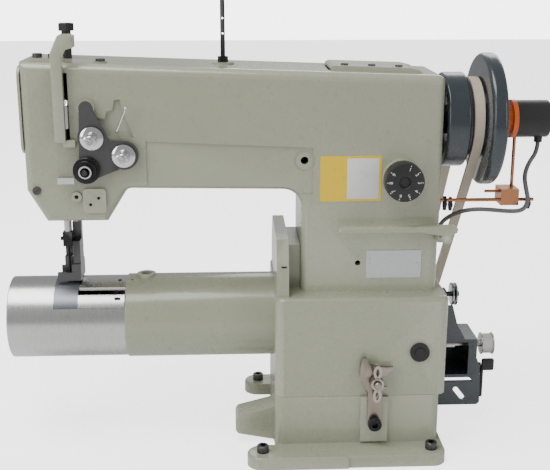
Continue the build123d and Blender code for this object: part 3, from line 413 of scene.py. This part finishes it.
def slab(low, high, rounding=0.6, turn=None, about=None):
    """A rounded box between two corners, turned about a point if asked."""
    shape = bmesh.new()
    bmesh.ops.create_cube(shape, size=1.0)
    size = [b - a for a, b in zip(low, high)]
    middle = Vector([(a + b) / 2 for a, b in zip(low, high)])
    bmesh.ops.scale(shape, vec=size, verts=shape.verts)
    bmesh.ops.bevel(shape, geom=list(shape.edges), offset=min(rounding, 0.45 * min(size)), segments=2,
                    affect="EDGES", profile=0.5, material=-1)
    bmesh.ops.translate(shape, vec=middle, verts=shape.verts)
    if turn is not None:
        pivot = Vector(about if about is not None else middle)
        spin = Matrix.Translation(pivot) @ turn @ Matrix.Translation(-pivot)
        bmesh.ops.transform(shape, matrix=spin, verts=shape.verts)
    return shape


def tube_along(points, radius, name):
    """A smooth NURBS wire through control points in millimetres, as a mesh."""
    curve = bpy.data.curves.new(name, "CURVE")
    curve.dimensions = "3D"
    line = curve.splines.new("NURBS")
    line.points.add(len(points) - 1)
    for control, point in zip(line.points, points):
        control.co = (*[c * MM for c in point], 1)
    line.order_u = 3
    line.use_endpoint_u = True
    curve.resolution_u = 6
    curve.bevel_depth = radius * MM
    curve.bevel_resolution = 3
    curve.use_fill_caps = True
    holder = bpy.data.objects.new(name + "_curve", curve)
    bpy.context.collection.objects.link(holder)
    bpy.context.view_layer.update()
    mesh = bpy.data.meshes.new_from_object(holder.evaluated_get(bpy.context.evaluated_depsgraph_get()))
    bpy.data.objects.remove(holder)
    shape = bmesh.new()
    shape.from_mesh(mesh)
    bpy.data.meshes.remove(mesh)
    bmesh.ops.remove_doubles(shape, verts=shape.verts, dist=1e-7)
    bmesh.ops.scale(shape, vec=(1 / MM, 1 / MM, 1 / MM), verts=shape.verts)
    return shape


# %% [markdown]
# ## The synchroniser's lead
# The housing beside the hand wheel feeds a grey cable to the motor's control box. It drops
# out of its gland, is tied to the copper rod, passes behind the column and lies in a neat
# coil with its plug. The route is a list of control points, and the coil's turns are worked
# out by a loop. The head tilts while the coil stays on the table; the cable is a mesh tube
# that rides on no body.

# %% Cable route
LEAD_ROUTE = [(218, 0, 337), (218, 0, 326), (208, -3, 313), (201, -14, 301),
              (200, -28, 289), (202, -33, 277), (197, -32, 266), (183, -27, 264), (164, -22, 265),
              (146, -20, 265.5), (131, -13, 261), (119, 1, 250), (116, 20, 236), (116, 40, 222),
              (117, 62, 204), (117, 86, 178), (114, 104, 144), (111, 116, 108), (104, 124, 68),
              (103, 140, 34), (106, 160, 11), (108, 181, 4), (99, 198, 3.2), (82, 203, 3.6)]
LEAD_R = 2.5
COIL_AT = (45.0, 175.0)
COIL_TURNS, COIL_STEPS = 5.5, 20


def coil_points():
    points = []
    total = int(COIL_TURNS * COIL_STEPS)
    for step in range(total + 1):
        turn = step / COIL_STEPS
        angle = math.radians(90) + 2 * math.pi * turn
        lower = turn < 3
        radius = 32.0 - 3.4 * min(turn, 3) if lower else 21.8 + 3.9 * (turn - 3)
        rise = min(1.0, max(0.0, (turn - 2.7) / 0.6))
        points.append((COIL_AT[0] + radius * math.cos(angle), COIL_AT[1] + radius * math.sin(angle),
                       2.8 + 5.0 * rise))
    return points


route = LEAD_ROUTE + coil_points() + [(58, 146.5, 7.0), (67, 147.5, 6.4)]


def spline_points(points):
    """The route's own smooth line, read from its NURBS spline."""
    curve = bpy.data.curves.new("lead_line", "CURVE")
    curve.dimensions = "3D"
    line = curve.splines.new("NURBS")
    line.points.add(len(points) - 1)
    for control, point in zip(line.points, points):
        control.co = (*[c * MM for c in point], 1)
    line.order_u = 3
    line.use_endpoint_u = True
    curve.resolution_u = 8
    holder = bpy.data.objects.new("lead_line", curve)
    bpy.context.collection.objects.link(holder)
    bpy.context.view_layer.update()
    mesh = bpy.data.meshes.new_from_object(holder.evaluated_get(bpy.context.evaluated_depsgraph_get()))
    found = [v.co.copy() for v in mesh.vertices]
    bpy.data.objects.remove(holder)
    return found


lead_path = spline_points(route)
lead = piece("sync_cable", tube_along(route, LEAD_R, "sync_cable"), "grey_plastic", None,
             hides=("sync_lead", "lead_coil"))
plug_shape = joined(slab((70, 138.5, 0.4), (92, 156.5, 12.2), 2.0),
                    slab((66.2, 142, 1.5), (70.5, 153, 11), 1.5),
                    *[slab((91.5, 141 + 3 * row, 3 + 3 * tier), (92.0, 142.6 + 3 * row, 4.6 + 3 * tier), 0.2)
                      for row in range(5) for tier in range(2)])
plug = piece("sync_plug", plug_shape, "black_plastic", "base", hides=("lead_plug",))
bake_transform(lead)

# %% [markdown]
# ## The drive belt
# The flat woven belt leaves the pulley in two strands that run down and back. It is a strap
# carried round two circles: arcs where it lies on them, straight strands between. The section
# is extruded step by step, turned on the arcs and shifted on the strands.

# %% Belt
BELT_MID_X, BELT_WIDTH, BELT_THICK = 140.5, 10.6, 3.8
PULLEY_AT, PULLEY_RADIUS = (0.0, 363.0), 44.4
BIGHT_AT, BIGHT_RADIUS = (258.0, 32.3), 29.9
STRAND_STEPS, ARC_STEPS = 36, 24


def belt_shape():
    away = Vector((BIGHT_AT[0] - PULLEY_AT[0], BIGHT_AT[1] - PULLEY_AT[1]))
    span = away.length
    lean = math.asin((PULLEY_RADIUS - BIGHT_RADIUS) / span)
    base_angle = math.atan2(away.y, away.x)
    front = base_angle - math.pi / 2 + lean
    back = base_angle + math.pi / 2 - lean
    shape = bmesh.new()
    out = Vector((0, math.cos(front), math.sin(front)))
    start = Vector((BELT_MID_X, PULLEY_AT[0], PULLEY_AT[1])) + out * PULLEY_RADIUS
    corners = [shape.verts.new(start + Vector((BELT_WIDTH / 2 * side, 0, 0)) + out * BELT_THICK / 2 * rise)
               for side, rise in ((-1, -1), (1, -1), (1, 1), (-1, 1))]
    ring = [shape.edges.new((a, b)) for a, b in zip(corners, corners[1:] + corners[:1])]

    def carry(edges, move):
        grown = bmesh.ops.extrude_edge_only(shape, edges=edges)["geom"]
        new_verts = [g for g in grown if isinstance(g, bmesh.types.BMVert)]
        bmesh.ops.transform(shape, matrix=move, verts=new_verts)
        return [g for g in grown
                if isinstance(g, bmesh.types.BMEdge) and all(v in new_verts for v in g.verts)]

    def swing(edges, centre, angle):
        pivot = Matrix.Translation((0, centre[0], centre[1]))
        move = pivot @ Matrix.Rotation(angle / ARC_STEPS, 4, "X") @ pivot.inverted()
        for _ in range(ARC_STEPS):
            edges = carry(edges, move)
        return edges

    def run(edges, angle):
        strand = math.sqrt(span ** 2 - (PULLEY_RADIUS - BIGHT_RADIUS) ** 2) / STRAND_STEPS
        for _ in range(STRAND_STEPS):
            edges = carry(edges, Matrix.Translation((0, strand * math.cos(angle), strand * math.sin(angle))))
        return edges

    over_top = back - front - 2 * math.pi
    ring = swing(ring, PULLEY_AT, over_top)
    ring = run(ring, back - math.pi / 2)
    ring = swing(ring, BIGHT_AT, -(2 * math.pi + over_top))
    run(ring, front - math.pi / 2)
    bmesh.ops.remove_doubles(shape, verts=shape.verts, dist=0.05)
    return shape


belt = piece("flat_drive_belt", belt_shape(), "belt_leather", None, hides=("drive_belt",))
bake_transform(belt)
print("belt loop", [round(x, 3) for x in belt.dimensions])

# %% [markdown]
# ## Thread tensions
# Each tension is a post with two dished discs, a cone spring and a knurled nut. The nuts turn
# on their own, so they stay separate pieces. Knurls are cut by drawing every second line of a
# turned shape inwards.

# %% Tension posts, nuts and the rotary tension
TENSION_AT = {"upper": (-266.0, 355.5), "right": (-234.0, 337.0)}
ROTARY_AT = (-273.0, 322.0)
POST_Y, NUT_Y = -62.0, -74.0


def knurled(profile, count, depth, inside, at, facing):
    """A turned shape whose outer lines, beyond the inside radius, alternate in and out."""
    shape = turned(profile, (0, 0, 0), "up", 2 * count)
    for vert in shape.verts:
        radius = math.hypot(vert.co.x, vert.co.y)
        step = round(math.atan2(vert.co.y, vert.co.x) / (math.pi / count))
        if radius > inside and step % 2:
            vert.co.x *= 1 - depth / radius
            vert.co.y *= 1 - depth / radius
    bmesh.ops.transform(shape, matrix=Matrix.Translation(at) @ AXIS_TURN[facing], verts=shape.verts)
    return shape


def coil_spring(x, z, y_back, y_front, wide, narrow, turns):
    points = []
    for step in range(int(turns * 12) + 1):
        share = step / (turns * 12)
        radius = wide + (narrow - wide) * share
        angle = 2 * math.pi * turns * share
        points.append((x + radius * math.cos(angle), y_back + (y_front - y_back) * share,
                       z + radius * math.sin(angle)))
    return tube_along(points, 0.55, "spring")


def tension_stack(x, z):
    back_disc = [(3, 0.4), (9, 0.4), (12, 2.1), (12, 2.9), (8.8, 1.3), (3, 1.3), (3, 0.4)]
    front_disc = [(3, 5.4), (9, 5.4), (12, 3.9), (12, 3.1), (8.8, 4.5), (3, 4.5), (3, 5.4)]
    collar = [(3, 5.9), (7.4, 5.9), (7.4, 7.0), (3, 7.0), (3, 5.9)]
    post = [(0, 0), (2.9, 0), (2.9, 21), (2.2, 22), (1.2, 22), (1.2, 20.8), (0, 20.8)]
    parts = [turned(profile, (x, POST_Y, z), "front") for profile in (back_disc, front_disc, collar, post)]
    return joined(*parts, coil_spring(x, z, POST_Y - 7.6, NUT_Y + 0.7, 6.4, 4.4, 3))


tension_nut = [(3.05, 0), (5.4, 0), (6.3, 0.8), (6.5, 1.2), (6.5, 5.2), (6.2, 5.8), (5.0, 6.2), (4.8, 7.6),
               (4.4, 8.0), (3.05, 8.0), (3.05, 0)]
piece("tension_stacks", joined(*[tension_stack(x, z) for x, z in TENSION_AT.values()]), "chrome", "head",
      hides=("tension_discs",))
for place, body in (("upper", "tension_nut_a"), ("right", "tension_nut_b")):
    nut_x, nut_z = TENSION_AT[place]
    nut = knurled(tension_nut, 26, 0.35, 6.25, (nut_x, NUT_Y, nut_z), "front")
    piece(f"knurled_nut_{place}", nut, "chrome", body, hides=(f"tension_nut_{place}",))
rotary_body = [(0, 0), (13.4, 0), (14, 0.7), (14, 4.2), (13.2, 5), (11.4, 5.2), (11.0, 7.4),
               (10.2, 8), (7.2, 8), (7.0, 9.5), (3.2, 9.5), (3.0, 16.4), (2.4, 17), (0, 17)]
rotary_ring = [(4.6, 9.7), (6.6, 9.7), (7.0, 10.3), (7.0, 13.2), (6.5, 14), (5.2, 14), (4.6, 13.4),
               (4.6, 9.7)]
rotary_back = (ROTARY_AT[0], POST_Y, ROTARY_AT[1])
piece("rotary_tension_disc", knurled(rotary_body, 40, 0.25, 13.9, rotary_back, "front"),
      "black_steel", "head", hides=("rotary_tension",))
piece("rotary_tension_ring", turned(rotary_ring, rotary_back, "front"), "chrome", "head")
print("tension pieces", len(TENSION_AT) + 4)

# %% [markdown]
# ## Stitch dial
# A knurled black knob with white ticks and the numbers one to nine round its face.

# %% Dial
DIAL_AT, DIAL_BACK, DIAL_FACE = (56.0, 310.0), -66.3, -84.3


def numeral(text, size, x, y, z, turn):
    """A raised number that faces the operator."""
    curve = bpy.data.curves.new("numeral", "FONT")
    curve.body = text
    curve.size = size * MM
    curve.extrude = 0.1 * MM
    curve.align_x = "CENTER"
    curve.align_y = "CENTER"
    holder = bpy.data.objects.new("numeral", curve)
    bpy.context.collection.objects.link(holder)
    bpy.context.view_layer.update()
    mesh = bpy.data.meshes.new_from_object(holder.evaluated_get(bpy.context.evaluated_depsgraph_get()))
    bpy.data.objects.remove(holder)
    shape = bmesh.new()
    shape.from_mesh(mesh)
    bpy.data.meshes.remove(mesh)
    bmesh.ops.remove_doubles(shape, verts=shape.verts, dist=1e-7)
    bmesh.ops.scale(shape, vec=(1 / MM, 1 / MM, 1 / MM), verts=shape.verts)
    place = Matrix.Translation((x, y, z)) @ Matrix.Rotation(turn, 4, "Y") @ AXIS_TURN["front"]
    bmesh.ops.transform(shape, matrix=place, verts=shape.verts)
    return shape


knob = [(0, -1.6), (4, -1.6), (4, 0), (19.6, 0), (20.6, 0.8), (20.8, 1.6), (20.8, 16.2), (20.2, 17.4),
        (19.2, 18), (6.4, 18), (5.6, 17.2), (5.2, 15.4), (0, 15.4)]
marks = []
for digit in range(1, 10):
    bearing = math.radians(36 * digit - 18)
    marks.append(numeral(str(digit), 5.4, DIAL_AT[0] + 14.6 * math.sin(bearing), DIAL_FACE - 0.05,
                         DIAL_AT[1] + 14.6 * math.cos(bearing), bearing))
    marks.append(slab((DIAL_AT[0] - 0.35, DIAL_FACE - 0.15, DIAL_AT[1] + 17.6),
                      (DIAL_AT[0] + 0.35, DIAL_FACE + 0.05, DIAL_AT[1] + 19.0), 0.05,
                      Matrix.Rotation(bearing, 4, "Y"), (DIAL_AT[0], DIAL_FACE, DIAL_AT[1])))
piece("dial_knob", knurled(knob, 44, 0.5, 20.5, (DIAL_AT[0], DIAL_BACK, DIAL_AT[1]), "front"),
      "black_plastic", "stitch_dial", hides=("stitch_dial",))
piece("dial_marks", joined(*marks), "label_film", "stitch_dial", smooth=False, finish="white_print")
print("dial marks", len(marks))

# %% [markdown]
# ## Flat pieces bent or cut from sheet
# The latch strap, the take-up guard and the label panel start as outlines that are given a
# thickness and slightly rounded edges.

# %% Sheet pieces
def sheet(outline, y_back, thickness, rounding=0.4):
    """An outline in X and Z, pulled towards the operator."""
    shape = bmesh.new()
    face = shape.faces.new([shape.verts.new((x, y_back, z)) for x, z in outline])
    grown = bmesh.ops.extrude_face_region(shape, geom=[face])
    moved = [g for g in grown["geom"] if isinstance(g, bmesh.types.BMVert)]
    bmesh.ops.translate(shape, vec=(0, -thickness, 0), verts=moved)
    bmesh.ops.recalc_face_normals(shape, faces=shape.faces)
    rim = [edge for edge in shape.edges if len(edge.link_faces) == 2 and edge.calc_face_angle() > 0.6]
    bmesh.ops.bevel(shape, geom=rim, offset=rounding, segments=2, affect="EDGES", profile=0.5, material=-1)
    return shape


def arc_points(x, z, radius, start, stop, steps):
    return [(x + radius * math.cos(math.radians(start + (stop - start) * step / steps)),
             z + radius * math.sin(math.radians(start + (stop - start) * step / steps)))
            for step in range(steps + 1)]


STRAP_BACK, STRAP_T = -84.3, 4.0
strap_outline = (arc_points(30.5, 41, 8, 180, 360, 10)
                 + [(38.5, 78), (43.5, 84)] + arc_points(31.5, 90.5, 6, -80, -270, 10)
                 + [(41, 96.5), (49, 103.5), (49.5, 107.5), (40.5, 107), (23.5, 110), (20.5, 118), (16, 118),
                    (13.5, 108), (13.5, 96), (16.5, 88), (22.5, 78)])
piece("strap_of_latch", sheet(strap_outline, STRAP_BACK, STRAP_T), "nickel", "latch", hides=("latch_strap",))
guard_outline = [(-304, 351), (-292.8, 351), (-292.8, 436), (-288, 445), (-280.5, 447), (-282.5, 459),
                 (-285, 460), (-293.5, 460), (-296, 458.5), (-304, 441)]
guard = joined(sheet(guard_outline, -61.6, 2.4, 0.6), slab((-295.2, -62.5, 354), (-292.9, -54.6, 436), 0.5),
               slab((-294, -62.5, 457.7), (-283, -48, 460), 0.5),
               slab((-282.8, -62.5, 447), (-280.6, -48, 459), 0.5),
               slab((-296, -62, 345.5), (-283.2, -54.4, 353), 1.2))
piece("guard_sheet", guard, "cream_paint", "head", hides=("take_up_guard",))
piece("label_panel", slab((-1, -54.75, 286.5), (33, -54.42, 330.5), 0.1), "label_film", "head",
      finish="white_print")
print("sheet pieces", 3)

# %% [markdown]
# ## Cable ties, winder and wheels
# Small things that carry the picture at the right-hand end.

# %% Ties and winder
def tie(x, y, z, facing, tall):
    band = turned([(5.2, -1.4), (6.1, -1.4), (6.1, 1.4), (5.2, 1.4), (5.2, -1.4)], (0, 0, 0), facing, 24)
    bmesh.ops.scale(band, vec=(1, 0.9, tall) if facing == "x" else (tall, 0.9, 1), verts=band.verts)
    bmesh.ops.translate(band, vec=(x, y, z), verts=band.verts)
    return joined(band, slab((x - 1.8, y - 6.6, z - 2.2), (x + 1.8, y - 4.2, z + 2.2), 0.5))


ties = joined(tie(112.5, -18, 272, "x", 1.35), tie(119, -17, 271, "x", 1.3), tie(203.5, -26, 274, "x", 1.2))
piece("cable_ties", ties, "black_plastic", "head")
BOBBIN_X, WIND_Y, WIND_Z = 172.0, 20.0, 89.5
flange = [(4, 0), (13, 0), (13.2, 0.5), (13.2, 1.1), (13, 1.5), (4, 1.5), (4, 0)]
wound = [(4, 1.5), (11.6, 1.5)] + [(11.6 + 0.25 * (step % 2), 1.5 + 0.5 * step) for step in range(1, 23)] + \
    [(11.6, 13), (4, 13), (4, 1.5)]
piece("bobbin_flanges", joined(*[turned(flange, (BOBBIN_X + far, WIND_Y, WIND_Z), "x") for far in (0, 13)]),
      "bright_steel", "winder_spindle", hides=("winder_bobbin",))
piece("bobbin_thread", turned(wound, (BOBBIN_X, WIND_Y, WIND_Z), "x"), "white_thread", "winder_spindle")
dished = [(3.1, -0.3), (9.5, -0.3), (13.4, 0.6), (13.5, 1.4), (9.5, 2.4), (3.1, 2.4), (3.1, -0.3)]
winder_discs = joined(*[turned(dished, (x, 16, 154), "x") for x in (132.5, 136.5)])
piece("winder_tension_discs", winder_discs, "chrome", "base")
paddle = joined(slab((169, -5, 64), (184, 1, 79), 2.4), slab((168.6, -3, 30), (172, 2, 70), 1.2),
                slab((163, 0.2, 59), (171.5, 14.3, 65), 1.0),
                turned([(3.05, 0), (6, 0), (6, 6), (3.05, 6), (3.05, 0)], (162.3, 20, 62), "x", 32))
piece("winder_paddle", paddle, "black_plastic", "winder_lever", hides=("winder_lever",))
print("winder pieces", 5)
